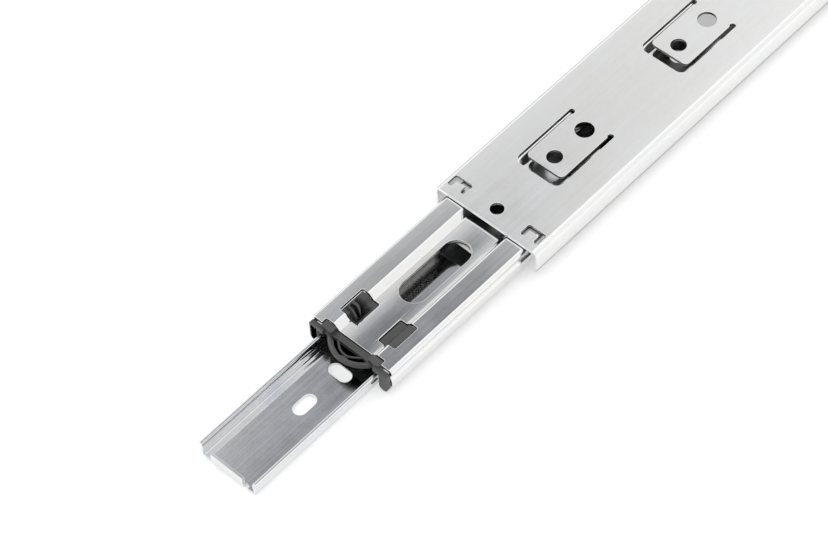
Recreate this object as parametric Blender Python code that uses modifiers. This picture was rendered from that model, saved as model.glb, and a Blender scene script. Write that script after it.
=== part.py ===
"""Telescopic ball-bearing drawer slide, three members, partly pulled out.

Frame: metres, +X is the way the drawer opens, +Z points to the cabinet wall, and the origin is at the
middle of the whole slide, on the drawer-side face. Run it in Blender 4.5.
"""

import math

import bmesh
import bpy

MM = 0.001

# Overall sizes
SLIDE_WIDTH = 45.7 * MM
SLIDE_DEPTH = 12.7 * MM
SHEET = 1.2 * MM
CABINET_LENGTH = 250.0 * MM
MIDDLE_LENGTH = 236.0 * MM
DRAWER_LENGTH = 240.0 * MM

# How far the front ends stand ahead of the cabinet member's front end, as drawn
MIDDLE_REACH = 65.7 * MM
DRAWER_REACH = 124.8 * MM
CABINET_FRONT = (CABINET_LENGTH - DRAWER_REACH) / 2
MIDDLE_FRONT = CABINET_FRONT + MIDDLE_REACH
DRAWER_FRONT = CABINET_FRONT + DRAWER_REACH

# Travel of each sliding pair towards open, from the drawn position
MIDDLE_OUT = 59.0 * MM
DRAWER_OUT = 66.0 * MM

# Balls, their races, and the bends that lead into a race
BALL_DIAMETER = 4.366 * MM
BALL_RADIUS = BALL_DIAMETER / 2
BALL_CLEARANCE = 0.05 * MM
BALLS_PER_ROW = 8
RACE_RADIUS = BALL_RADIUS + BALL_CLEARANCE
SHEET_BEND = SHEET + 0.2 * MM
BEND_REACH = RACE_RADIUS + SHEET_BEND

# Ball retainers
OUTER_RETAINER_SHEET = 0.5 * MM
INNER_RETAINER_SHEET = 0.4 * MM
POCKET_CLEARANCE = 0.1 * MM
OUTER_PITCH = 12.0 * MM
INNER_PITCH = 11.5 * MM
OUTER_RETAINER_LENGTH = 95.0 * MM
INNER_RETAINER_LENGTH = 91.0 * MM
OUTER_RETAINER_SETBACK = 12.5 * MM
INNER_RETAINER_SETBACK = 22.0 * MM
OUTER_RETAINER_FRONT = CABINET_FRONT - OUTER_RETAINER_SETBACK - MIDDLE_OUT / 2
INNER_RETAINER_FRONT = MIDDLE_FRONT - INNER_RETAINER_SETBACK - DRAWER_OUT / 2
RETAINER_HALF_HEIGHT = 2.9 * MM
INNER_RETAINER_CORNER = 1.0 * MM
INNER_RETAINER_GAP = 0.27 * MM
RETAINER_WINDOW = (12.0 * MM, 36.0 * MM)
RETAINER_WINDOW_HALF = 4.0 * MM

# Places of the two rows, and of the middle member's wall between them
SHOULDER_GAP = 0.4 * MM
SHOULDER_Z = SLIDE_DEPTH - SHEET - SHOULDER_GAP
MIDDLE_WALL_SHIFT = 1.567 * MM
ROW_CLEARANCE = 0.115 * MM
ROW_REACH = RACE_RADIUS + SHEET + BALL_RADIUS + ROW_CLEARANCE
ROW_SPACING = MIDDLE_WALL_SHIFT + SHEET + RACE_RADIUS
OUTER_ROW_Y = SLIDE_WIDTH / 2 - SHEET - RACE_RADIUS
OUTER_ROW_Z = SHOULDER_Z - 3.7 * MM
INNER_ROW_Y = OUTER_ROW_Y - ROW_SPACING
INNER_ROW_Z = OUTER_ROW_Z - math.sqrt(ROW_REACH**2 - ROW_SPACING**2)
MIDDLE_LOWER_HALF = OUTER_ROW_Y - MIDDLE_WALL_SHIFT
MIDDLE_LIP_BOTTOM = OUTER_ROW_Z - 5.1 * MM

# Cabinet member section
CABINET_CORNER = 2.2 * MM
CABINET_CURL = 1.6 * MM
CABINET_CURL_START = OUTER_ROW_Z - BALL_RADIUS - 0.217 * MM
CABINET_LIP_BOTTOM = CABINET_CURL_START - 2.7 * MM
CABINET_CURL_BEND = 3.0 * MM

# Drawer member section
DRAWER_LIP_SHIFT = 1.583 * MM
DRAWER_LIP_HALF = INNER_ROW_Y - DRAWER_LIP_SHIFT
DRAWER_FOOT_HALF = DRAWER_LIP_HALF - 0.4 * MM
DRAWER_LIP_EDGE = 0.226 * MM
DRAWER_LIP_BEND_Z = INNER_ROW_Z + math.sqrt(BEND_REACH**2 - (DRAWER_LIP_SHIFT + SHEET_BEND) ** 2)
DRAWER_LIP_TOP = DRAWER_LIP_BEND_Z + DRAWER_LIP_EDGE
DRAWER_CORNER = SHEET + 0.4 * MM
DRAWER_STOP_HALF = 7.2 * MM
DRAWER_STOP_TOP = 5.6 * MM
DRAWER_STOP_BEND = SHEET + 0.4 * MM
DRAWER_STOP_SLIT = 1.2 * MM
DRAWER_FLANGE_SETBACK = 0.6 * MM

# Inner retainer's bridge, and the middle member's panel above it
INNER_RETAINER_TOP = DRAWER_LIP_TOP + INNER_RETAINER_GAP + INNER_RETAINER_SHEET
PANEL_GAP = 0.28 * MM
PANEL_Z = INNER_RETAINER_TOP + PANEL_GAP + SHEET
PANEL_HALF = 7.45 * MM
PANEL_CORNER = 0.6 * MM
SHOULDER_HALF = 9.6 * MM

# Mounting tongues of the cabinet member
TONGUE_PITCH = 66.3 * MM
TONGUE_OPENING = 26.0 * MM
TONGUE_ROOT = 56.0 * MM
TONGUE_TIP_GAP = 4.1 * MM
TONGUE_HALF = 8.2 * MM
TONGUE_SLIT = 1.55 * MM
TONGUE_OPENING_CORNER = 3.0 * MM
TONGUE_TIP_CORNER = 2.0 * MM
TONGUE_HOLES = ((35.8 * MM, 5.8 * MM), (51.5 * MM, 7.0 * MM))
TONGUE_REAR_MARGIN = 45.0 * MM
TONGUE_COUNT = 1 + int((CABINET_LENGTH - TONGUE_REAR_MARGIN - TONGUE_ROOT) / TONGUE_PITCH)

# Other cuts of the cabinet member, measured back from its front end
CABINET_HOLES = (
    (6.2 * MM, 5.0 * MM),
    (CABINET_LENGTH - 38.0 * MM, 5.0 * MM),
    (CABINET_LENGTH - 22.0 * MM, 5.8 * MM),
)
TAB_CENTRE = SLIDE_WIDTH / 2 - 6.4 * MM
TAB_HALF = 1.95 * MM
TAB_SLIT = 1.9 * MM
TAB_ROOT = 3.4 * MM
TAB_TIP = 6.4 * MM
TAB_OPENING_END = 8.3 * MM
TAB_OPENING_CORNER = 0.8 * MM
TAB_TIP_CORNER = 0.5 * MM

# Front bumper
BUMPER_GAP = 0.3 * MM
BUMPER_LIFT = 0.4 * MM
BUMPER_BOTTOM = DRAWER_LIP_TOP + BUMPER_LIFT
BUMPER_TOP = SHOULDER_Z - 0.3 * MM
BAR_TOP = SHOULDER_Z - 2.35 * MM
HUMP_INNER = 7.6 * MM
BAR_FRONT = 0.8 * MM
EAR_FACE = 2.1 * MM
EAR_INNER = DRAWER_LIP_HALF + 0.87 * MM
EAR_OUTER = MIDDLE_LOWER_HALF - 0.45 * MM
EAR_BOTTOM = 0.9 * MM
EAR_TOP = SHOULDER_Z - 1.2 * MM
EAR_CORNER = 0.8 * MM
EAR_ROOT = 2.5 * MM
EAR_ROOT_RISE = 0.7 * MM
LEAF_REACH = 6.1 * MM
LEAF_THICKNESS = 1.1 * MM
LEAF_END_GAP = 3.4 * MM
LEAF_HEIGHTS = (BUMPER_BOTTOM + 0.2 * MM, BUMPER_TOP - 1.4 * MM)
LEAF_RIB_HALF = 0.5 * MM
LEAF_RIB_HEIGHTS = (BUMPER_BOTTOM + 0.4 * MM, BUMPER_TOP - 1.8 * MM)
ARM_INWARD = 1.7 * MM
ARM_OUTWARD = 1.9 * MM
ARM_END = 1.0 * MM
PLATE_RISE = 0.6 * MM
PLATE_STEP = 9.0 * MM
JOIN_LAP = 0.5 * MM
SMALL_EDGE = 0.3 * MM

# Cuts of the middle member, measured back from its front end
ACCESS_HALF = 5.2 * MM
ACCESS_SLOTS = (
    (25.2 * MM, 56.4 * MM),
    (92.0 * MM, 122.0 * MM),
    (MIDDLE_LENGTH - 60.0 * MM, MIDDLE_LENGTH - 30.0 * MM),
)
WINDOW = (7.6 * MM, 18.7 * MM)
WINDOW_INNER = 4.7 * MM
WINDOW_OUTER = 12.5 * MM
WINDOW_CORNER = 0.6 * MM
NOTCH_HALF = EAR_INNER - 0.5 * MM
NOTCH_DEPTH = 2.1 * MM

# Slots of the drawer member, measured back from its front end
SLOT_WIDTH = 4.9 * MM
SLOT_LENGTH = 9.2 * MM
LENGTHWISE_SLOTS = (36.0 * MM, 126.0 * MM, DRAWER_LENGTH - 22.0 * MM)
CROSSWISE_SLOTS = (52.8 * MM, 138.0 * MM, DRAWER_LENGTH - 40.0 * MM)

# Rear bumper
REAR_BUMPER_DEPTH = 7.5 * MM
REAR_BUMPER_SETBACK = 0.4 * MM
REAR_BUMPER_HALF = SLIDE_WIDTH / 2 - SHEET - CABINET_CURL - 1.05 * MM
REAR_BUMPER_BOTTOM = CABINET_LIP_BOTTOM + 0.7 * MM
REAR_BUMPER_CORNER = 1.5 * MM
RELIEF_START = 2.2 * MM
RELIEF_PLACE = 9.0 * MM
RELIEF_HALF = 1.4 * MM

# Release lever
LEVER_PIVOT = 170.0 * MM
LEVER_LENGTH = 44.0 * MM
LEVER_HALF = 3.2 * MM
LEVER_NOSE_HALF = 1.6 * MM
LEVER_BOSS_HALF = 4.2 * MM
LEVER_BOSS_LENGTH = 12.0 * MM
LEVER_HEIGHT = 2.4 * MM
LEVER_GAP = 0.35 * MM
RIVET_RADIUS = 1.6 * MM
RIVET_HEAD_RADIUS = 2.9 * MM
RIVET_HEAD = 0.7 * MM
RIVET_CLEARANCE = 0.15 * MM


def clear_scene():
    for obj in list(bpy.data.objects):
        bpy.data.objects.remove(obj, do_unlink=True)


def new_collection(name):
    collection = bpy.data.collections.new(name)
    bpy.context.scene.collection.children.link(collection)
    return collection


def make_material(name, colour, roughness, metallic):
    material = bpy.data.materials.new(name)
    material.use_nodes = True
    shader = material.node_tree.nodes["Principled BSDF"]
    shader.inputs["Base Color"].default_value = (*colour, 1)
    shader.inputs["Roughness"].default_value = roughness
    shader.inputs["Metallic"].default_value = metallic
    return material


def make_object(name, bm, collection, material=None, smooth=True):
    """Turns a bmesh into an object, with its round faces shaded smooth."""
    mesh = bpy.data.meshes.new(name)
    bm.to_mesh(mesh)
    bm.free()
    if smooth:
        mesh.shade_smooth()
        mesh.set_sharp_from_angle(angle=math.radians(35))
    obj = bpy.data.objects.new(name, mesh)
    collection.objects.link(obj)
    if material:
        mesh.materials.append(material)
    return obj


def arc(centre, radius, start, end, steps):
    """Points on a circle from the start angle to the end angle, both in degrees."""
    angles = [math.radians(start + (end - start) * i / steps) for i in range(steps + 1)]
    return [(centre[0] + radius * math.cos(a), centre[1] + radius * math.sin(a)) for a in angles]


def round_corner(before, corner, after, radius, steps):
    """The arc that replaces a corner of an outline."""
    to_before = [before[i] - corner[i] for i in (0, 1)]
    to_after = [after[i] - corner[i] for i in (0, 1)]
    length_before = math.hypot(*to_before)
    length_after = math.hypot(*to_after)
    to_before = [v / length_before for v in to_before]
    to_after = [v / length_after for v in to_after]
    half = math.acos(max(-1, min(1, sum(a * b for a, b in zip(to_before, to_after))))) / 2
    radius = min(radius, 0.95 * math.tan(half) * min(length_before, length_after))
    along = [to_before[i] + to_after[i] for i in (0, 1)]
    scale = radius / math.sin(half) / math.hypot(*along)
    centre = [corner[i] + along[i] * scale for i in (0, 1)]
    back = radius / math.tan(half)
    first = [corner[i] + to_before[i] * back - centre[i] for i in (0, 1)]
    last = [corner[i] + to_after[i] * back - centre[i] for i in (0, 1)]
    start = math.atan2(first[1], first[0])
    turn = math.atan2(first[0] * last[1] - first[1] * last[0], first[0] * last[0] + first[1] * last[1])
    return arc(centre, radius, math.degrees(start), math.degrees(start + turn), steps)


def rounded_path(corners, closed=False, steps=4):
    """An outline from corners (a, b) or (a, b, radius)."""
    points = []
    count = len(corners)
    for i, corner in enumerate(corners):
        inside = closed or 0 < i < count - 1
        if len(corner) == 2 or not inside:
            points.append(tuple(corner[:2]))
            continue
        before = corners[i - 1][:2]
        after = corners[(i + 1) % count][:2]
        points += round_corner(before, corner[:2], after, corner[2], steps)
    return points


def extrude_outline(points, low, high, axes="xyz"):
    """A closed prism: the outline lies in the first two axes, and low and high are along the third."""
    bm = bmesh.new()
    order = ["xyz".index(letter) for letter in axes]
    verts = []
    for point in points:
        place = [0.0, 0.0, 0.0]
        place[order[0]] = point[0]
        place[order[1]] = point[1]
        place[order[2]] = low
        verts.append(bm.verts.new(place))
    face = bm.faces.new(verts)
    moved = bmesh.ops.extrude_face_region(bm, geom=[face])
    step = [0.0, 0.0, 0.0]
    step[order[2]] = high - low
    top = [item for item in moved["geom"] if isinstance(item, bmesh.types.BMVert)]
    bmesh.ops.translate(bm, verts=top, vec=step)
    bmesh.ops.recalc_face_normals(bm, faces=bm.faces)
    return bm


def box_points(x_low, x_high, y_low, y_high, radius=0.0):
    corners = [(x_low, y_low), (x_high, y_low), (x_high, y_high), (x_low, y_high)]
    if radius:
        return rounded_path([(*corner, radius) for corner in corners], closed=True)
    return corners


def disc_points(x, y, radius, steps=20):
    return arc((x, y), radius, 0, 360 - 360 / steps, steps - 1)


def slot_points(x_low, x_high, y, half_width, steps=8):
    """A slot with round ends, lying along X."""
    front = arc((x_high - half_width, y), half_width, -90, 90, steps)
    back = arc((x_low + half_width, y), half_width, 90, 270, steps)
    return front + back


def cross_slot_points(x, y_low, y_high, half_width, steps=8):
    """A slot with round ends, lying along Y."""
    top = arc((x, y_high - half_width), half_width, 0, 180, steps)
    bottom = arc((x, y_low + half_width), half_width, 180, 360, steps)
    return top + bottom


def tongue_slit_points(x_open, x_tip, x_root, y, half, slit, outer_corner, tip_corner):
    """The U-shaped slit that leaves a tongue, open side at x_open and root at x_root."""
    outer = half + slit
    end = slit / 2
    return rounded_path(
        [
            (x_root, y - outer, end),
            (x_open, y - outer, outer_corner),
            (x_open, y + outer, outer_corner),
            (x_root, y + outer, end),
            (x_root, y + half, end),
            (x_tip, y + half, tip_corner),
            (x_tip, y - half, tip_corner),
            (x_root, y - half, end),
        ],
        closed=True,
    )


def add_cut(target, cutter, operation="DIFFERENCE"):
    modifier = target.modifiers.new(cutter.name, "BOOLEAN")
    modifier.operation = operation
    modifier.solver = "EXACT"
    modifier.object = cutter
    cutter.hide_render = True
    cutter.display_type = "WIRE"


def cut_outlines(target, name, outlines, low, high, collection, axes="xyz"):
    """Cuts several outlines out of the target with one cutter."""
    whole = bmesh.new()
    for points in outlines:
        piece = extrude_outline(points, low, high, axes)
        mesh = bpy.data.meshes.new(name)
        piece.to_mesh(mesh)
        piece.free()
        whole.from_mesh(mesh)
        bpy.data.meshes.remove(mesh)
    cutter = make_object(name, whole, collection, smooth=False)
    add_cut(target, cutter)


def mirror_section(half):
    """A whole section from the half that starts on the centre line."""
    return [(-y, z) for y, z in reversed(half)] + half[1:]


def rail_surface(section, x_rows):
    """An open sheet along X through the given section."""
    bm = bmesh.new()
    rows = [[bm.verts.new((x, y, z)) for y, z in section] for x in x_rows]
    for row, following in zip(rows, rows[1:]):
        for i in range(len(section) - 1):
            bm.faces.new((row[i], following[i], following[i + 1], row[i + 1]))
    return bm


def add_thickness(obj, thickness, offset=-1):
    modifier = obj.modifiers.new("sheet", "SOLIDIFY")
    modifier.thickness = thickness
    modifier.offset = offset
    modifier.use_even_offset = True


def bend_into_groove(groove, wall, side):
    """The centre of the bend that runs from an upright wall into a ball groove, and its angle in degrees.

    The groove is the circle of the race, and side is 1 for the bend above it and -1 for the bend below.
    """
    across = groove[0] - (wall - SHEET_BEND)
    along = math.sqrt(BEND_REACH**2 - across**2)
    centre = (wall - SHEET_BEND, groove[1] + side * along)
    return centre, math.degrees(math.atan2(along, across))


def cabinet_section():
    half = SLIDE_WIDTH / 2
    return mirror_section(
        rounded_path(
            [
                (0, SLIDE_DEPTH),
                (half, SLIDE_DEPTH, CABINET_CORNER),
                (half, CABINET_CURL_START, CABINET_CURL_BEND),
                (half - CABINET_CURL, CABINET_LIP_BOTTOM),
            ]
        )
    )


def middle_section():
    groove = (OUTER_ROW_Y, OUTER_ROW_Z)
    drop = SHOULDER_Z - SHEET_BEND - OUTER_ROW_Z
    across = math.sqrt(BEND_REACH**2 - drop**2)
    corner = (OUTER_ROW_Y - across, SHOULDER_Z - SHEET_BEND)
    corner_angle = math.degrees(math.atan2(drop, across))
    lower, lower_angle = bend_into_groove(groove, MIDDLE_LOWER_HALF, -1)
    top = rounded_path(
        [
            (0, PANEL_Z),
            (PANEL_HALF, PANEL_Z, PANEL_CORNER),
            (SHOULDER_HALF, SHOULDER_Z, SHEET_BEND),
            (corner[0], SHOULDER_Z),
        ]
    )
    half = (
        top[:-1]
        + arc(corner, SHEET_BEND, 90, -corner_angle, 8)
        + arc(groove, RACE_RADIUS, 180 - corner_angle, 180 + lower_angle, 7)[1:]
        + arc(lower, SHEET_BEND, lower_angle, 0, 3)[1:]
        + [(MIDDLE_LOWER_HALF, MIDDLE_LIP_BOTTOM)]
    )
    return mirror_section(half)


def drawer_section():
    groove = (INNER_ROW_Y, INNER_ROW_Z)
    lower, lower_angle = bend_into_groove(groove, DRAWER_FOOT_HALF, -1)
    upper, upper_angle = bend_into_groove(groove, DRAWER_LIP_HALF, 1)
    web = rounded_path(
        [
            (0, 0),
            (DRAWER_STOP_HALF, 0),
            (DRAWER_STOP_HALF + DRAWER_STOP_SLIT, 0),
            (DRAWER_FOOT_HALF, 0, DRAWER_CORNER),
            (DRAWER_FOOT_HALF, lower[1]),
        ]
    )
    half = (
        web[:-1]
        + arc(lower, SHEET_BEND, 0, lower_angle, 3)
        + arc(groove, RACE_RADIUS, 180 + lower_angle, 180 - upper_angle, 6)[1:]
        + arc(upper, SHEET_BEND, -upper_angle, 0, 3)[1:]
        + [(DRAWER_LIP_HALF, DRAWER_LIP_TOP)]
    )
    return mirror_section(half)


def make_cabinet_member(parts, cutters, material):
    rows = (CABINET_FRONT - CABINET_LENGTH, CABINET_FRONT)
    member = make_object("outer_member", rail_surface(cabinet_section(), rows), parts, material)
    add_thickness(member, SHEET)
    low = SLIDE_DEPTH - 2 * SHEET
    high = SLIDE_DEPTH + SHEET

    slits = []
    holes = list(CABINET_HOLES)
    for i in range(TONGUE_COUNT):
        back = CABINET_FRONT - i * TONGUE_PITCH
        opening = back - TONGUE_OPENING
        tip = opening - TONGUE_TIP_GAP
        root = back - TONGUE_ROOT
        corners = (TONGUE_OPENING_CORNER, TONGUE_TIP_CORNER)
        slits.append(tongue_slit_points(opening, tip, root, 0, TONGUE_HALF, TONGUE_SLIT, *corners))
        holes += [(place + i * TONGUE_PITCH, diameter) for place, diameter in TONGUE_HOLES]
    for side in (-1, 1):
        slits.append(
            tongue_slit_points(
                CABINET_FRONT - TAB_OPENING_END,
                CABINET_FRONT - TAB_TIP,
                CABINET_FRONT - TAB_ROOT,
                side * TAB_CENTRE,
                TAB_HALF,
                TAB_SLIT,
                TAB_OPENING_CORNER,
                TAB_TIP_CORNER,
            )
        )
    cut_outlines(member, "cutter_tongue_slits", slits, low, high, cutters)
    discs = [disc_points(CABINET_FRONT - place, 0, diameter / 2) for place, diameter in holes]
    cut_outlines(member, "cutter_cabinet_holes", discs, low, high, cutters)
    return member


def make_middle_member(parts, cutters, material):
    rows = (MIDDLE_FRONT - MIDDLE_LENGTH, MIDDLE_FRONT)
    sheet = rail_surface(middle_section(), rows)
    member = make_object("intermediate_member", sheet, parts, material)
    add_thickness(member, SHEET)
    low = PANEL_Z - 2 * SHEET
    high = SHOULDER_Z + SHEET
    outlines = [
        slot_points(MIDDLE_FRONT - far, MIDDLE_FRONT - near, 0, ACCESS_HALF)
        for near, far in ACCESS_SLOTS
    ]
    for side in (-1, 1):
        y_ends = sorted((side * WINDOW_INNER, side * WINDOW_OUTER))
        x_ends = (MIDDLE_FRONT - WINDOW[1], MIDDLE_FRONT - WINDOW[0])
        outlines.append(box_points(*x_ends, *y_ends, WINDOW_CORNER))
    outlines.append(box_points(MIDDLE_FRONT - NOTCH_DEPTH, MIDDLE_FRONT + SHEET, -NOTCH_HALF, NOTCH_HALF))
    cut_outlines(member, "cutter_middle_openings", outlines, low, high, cutters)
    return member


def fold_up_stop(bm):
    """Folds the web's front edge up into the stop, and takes the flanges a little further forward."""
    front = DRAWER_FRONT - DRAWER_STOP_BEND
    edges = [e for e in bm.edges if e.is_boundary and all(abs(v.co.x - front) < MM / 100 for v in e.verts)]
    edge_of_slit = DRAWER_STOP_HALF + DRAWER_STOP_SLIT - MM / 100
    middle = [e for e in edges if all(abs(v.co.y) < DRAWER_STOP_HALF + MM / 100 for v in e.verts)]
    sides = [e for e in edges if all(abs(v.co.y) > edge_of_slit for v in e.verts)]
    moved = bmesh.ops.extrude_edge_only(bm, edges=sides)["geom"]
    ahead = DRAWER_STOP_BEND - DRAWER_FLANGE_SETBACK
    verts = [item for item in moved if isinstance(item, bmesh.types.BMVert)]
    bmesh.ops.translate(bm, verts=verts, vec=(ahead, 0, 0))
    path = arc((front, DRAWER_STOP_BEND), DRAWER_STOP_BEND, -90, 0, 5) + [(DRAWER_FRONT, DRAWER_STOP_TOP)]
    for here, following in zip(path, path[1:]):
        moved = bmesh.ops.extrude_edge_only(bm, edges=middle)["geom"]
        verts = [item for item in moved if isinstance(item, bmesh.types.BMVert)]
        step = (following[0] - here[0], 0, following[1] - here[1])
        bmesh.ops.translate(bm, verts=verts, vec=step)
        edges = [item for item in moved if isinstance(item, bmesh.types.BMEdge)]
        middle = [e for e in edges if all(v in verts for v in e.verts)]


def make_drawer_member(parts, cutters, material):
    rows = (DRAWER_FRONT - DRAWER_LENGTH, DRAWER_FRONT - DRAWER_STOP_BEND)
    bm = rail_surface(drawer_section(), rows)
    fold_up_stop(bm)
    bmesh.ops.recalc_face_normals(bm, faces=bm.faces)
    bottom = min(bm.faces, key=lambda f: f.calc_center_median().z)
    if bottom.normal.z > 0:
        bmesh.ops.reverse_faces(bm, faces=bm.faces)
    member = make_object("inner_member", bm, parts, material)
    add_thickness(member, SHEET)
    half = SLOT_WIDTH / 2
    outlines = []
    for place in LENGTHWISE_SLOTS:
        x = DRAWER_FRONT - place
        outlines.append(slot_points(x - SLOT_LENGTH / 2, x + SLOT_LENGTH / 2, 0, half))
    for place in CROSSWISE_SLOTS:
        outlines.append(cross_slot_points(DRAWER_FRONT - place, -SLOT_LENGTH / 2, SLOT_LENGTH / 2, half))
    rivet = disc_points(DRAWER_FRONT - LEVER_PIVOT, 0, RIVET_RADIUS + RIVET_CLEARANCE)
    outlines.append(rivet)
    cut_outlines(member, "cutter_drawer_slots", outlines, -SHEET, 2 * SHEET, cutters)
    return member


def make_ball(name, x, y, z, parts, mesh, material):
    ball = bpy.data.objects.new(name, mesh)
    ball.location = (x, y, z)
    parts.objects.link(ball)
    if not mesh.materials:
        mesh.materials.append(material)
    return ball


def ball_places(front, length, pitch):
    """Places of the balls of one row along X, centred in the retainer."""
    first = front - length / 2 + pitch * (BALLS_PER_ROW - 1) / 2
    return [first - i * pitch for i in range(BALLS_PER_ROW)]


def make_balls(parts, material):
    bm = bmesh.new()
    bmesh.ops.create_icosphere(bm, subdivisions=2, radius=BALL_RADIUS)
    mesh = bpy.data.meshes.new("ball")
    bm.to_mesh(mesh)
    bm.free()
    mesh.shade_smooth()
    rows = (
        ("outer_ball", OUTER_RETAINER_FRONT, OUTER_RETAINER_LENGTH, OUTER_PITCH, OUTER_ROW_Y, OUTER_ROW_Z),
        ("inner_ball", INNER_RETAINER_FRONT, INNER_RETAINER_LENGTH, INNER_PITCH, INNER_ROW_Y, INNER_ROW_Z),
    )
    for name, front, length, pitch, y, z in rows:
        number = 1
        for side in (-1, 1):
            for x in ball_places(front, length, pitch):
                make_ball(f"{name}_{number:02d}", x, side * y, z, parts, mesh, material)
                number += 1


def make_outer_retainers(parts, cutters, material):
    """One strip on each side, its balls in round pockets."""
    low = OUTER_ROW_Z - RETAINER_HALF_HEIGHT
    high = OUTER_ROW_Z + RETAINER_HALF_HEIGHT
    back = OUTER_RETAINER_FRONT - OUTER_RETAINER_LENGTH
    pockets = [
        disc_points(x, OUTER_ROW_Z, BALL_RADIUS + POCKET_CLEARANCE, 16)
        for x in ball_places(OUTER_RETAINER_FRONT, OUTER_RETAINER_LENGTH, OUTER_PITCH)
    ]
    for side, word in ((-1, "left"), (1, "right")):
        inside = side * OUTER_ROW_Y - OUTER_RETAINER_SHEET / 2
        outside = inside + OUTER_RETAINER_SHEET
        outline = box_points(back, OUTER_RETAINER_FRONT, low, high, SHEET)
        bm = extrude_outline(outline, inside, outside, axes="xzy")
        strip = make_object(f"outer_ball_retainer_{word}", bm, parts, material)
        name = f"cutter_outer_pockets_{word}"
        cut_outlines(strip, name, pockets, inside - MM, outside + MM, cutters, "xzy")


def make_inner_retainer(parts, cutters, material):
    """A folded strip that bridges the drawer member and holds the inner balls in its two legs."""
    half = INNER_ROW_Y + INNER_RETAINER_SHEET / 2
    section = mirror_section(
        rounded_path(
            [
                (0, INNER_RETAINER_TOP),
                (half, INNER_RETAINER_TOP, INNER_RETAINER_CORNER),
                (half, INNER_ROW_Z - RETAINER_HALF_HEIGHT),
            ]
        )
    )
    front = INNER_RETAINER_FRONT
    back = front - INNER_RETAINER_LENGTH
    strip = make_object("inner_ball_retainer", rail_surface(section, (back, front)), parts, material)
    add_thickness(strip, INNER_RETAINER_SHEET)
    pockets = [
        disc_points(x, INNER_ROW_Z, BALL_RADIUS + POCKET_CLEARANCE, 16)
        for x in ball_places(front, INNER_RETAINER_LENGTH, INNER_PITCH)
    ]
    cut_outlines(strip, "cutter_inner_pockets", pockets, -half - MM, half + MM, cutters, "xzy")
    near, far = RETAINER_WINDOW
    windows = [
        slot_points(back + near, back + far, 0, RETAINER_WINDOW_HALF),
        slot_points(front - far, front - near, 0, RETAINER_WINDOW_HALF),
    ]
    low = INNER_RETAINER_TOP - MM
    cut_outlines(strip, "cutter_retainer_windows", windows, low, low + 2 * MM, cutters)


def join_pieces(name, pieces, parts, cutters, material):
    """Makes one solid: the first piece is the object, and the others are joined to it."""
    base = make_object(name, pieces[0], parts, material)
    for i, piece in enumerate(pieces[1:], 1):
        extra = make_object(f"joined_{name}_{i}", piece, cutters, smooth=False)
        add_cut(base, extra, "UNION")
    return base


def leaf_points():
    """The bumper's spring leaf, an arch seen from above."""
    back = MIDDLE_FRONT + BAR_FRONT / 4
    half = NOTCH_HALF - LEAF_END_GAP
    radius = (half**2 + LEAF_REACH**2) / (2 * LEAF_REACH)
    centre = (back + LEAF_REACH - radius, 0)
    angle = math.degrees(math.asin(half / radius))
    outer = arc(centre, radius, -angle, angle, 14)
    inner_angle = 0.86 * angle
    inner = arc(centre, radius - LEAF_THICKNESS, inner_angle, -inner_angle, 14)
    return outer + inner


def ear_points(side):
    """One ear of the bumper, seen along the slide."""
    corner = (EAR_OUTER - EAR_INNER) / 2
    root_y = side * (EAR_INNER - EAR_ROOT)
    root_z = BUMPER_BOTTOM + EAR_ROOT_RISE
    return rounded_path(
        [
            (side * EAR_INNER, root_z, SMALL_EDGE),
            (side * EAR_INNER, EAR_BOTTOM, corner),
            (side * EAR_OUTER, EAR_BOTTOM, corner),
            (side * EAR_OUTER, EAR_TOP, EAR_CORNER),
            (root_y, EAR_TOP, SMALL_EDGE),
            (root_y, root_z, SMALL_EDGE),
        ],
        closed=True,
    )


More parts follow.
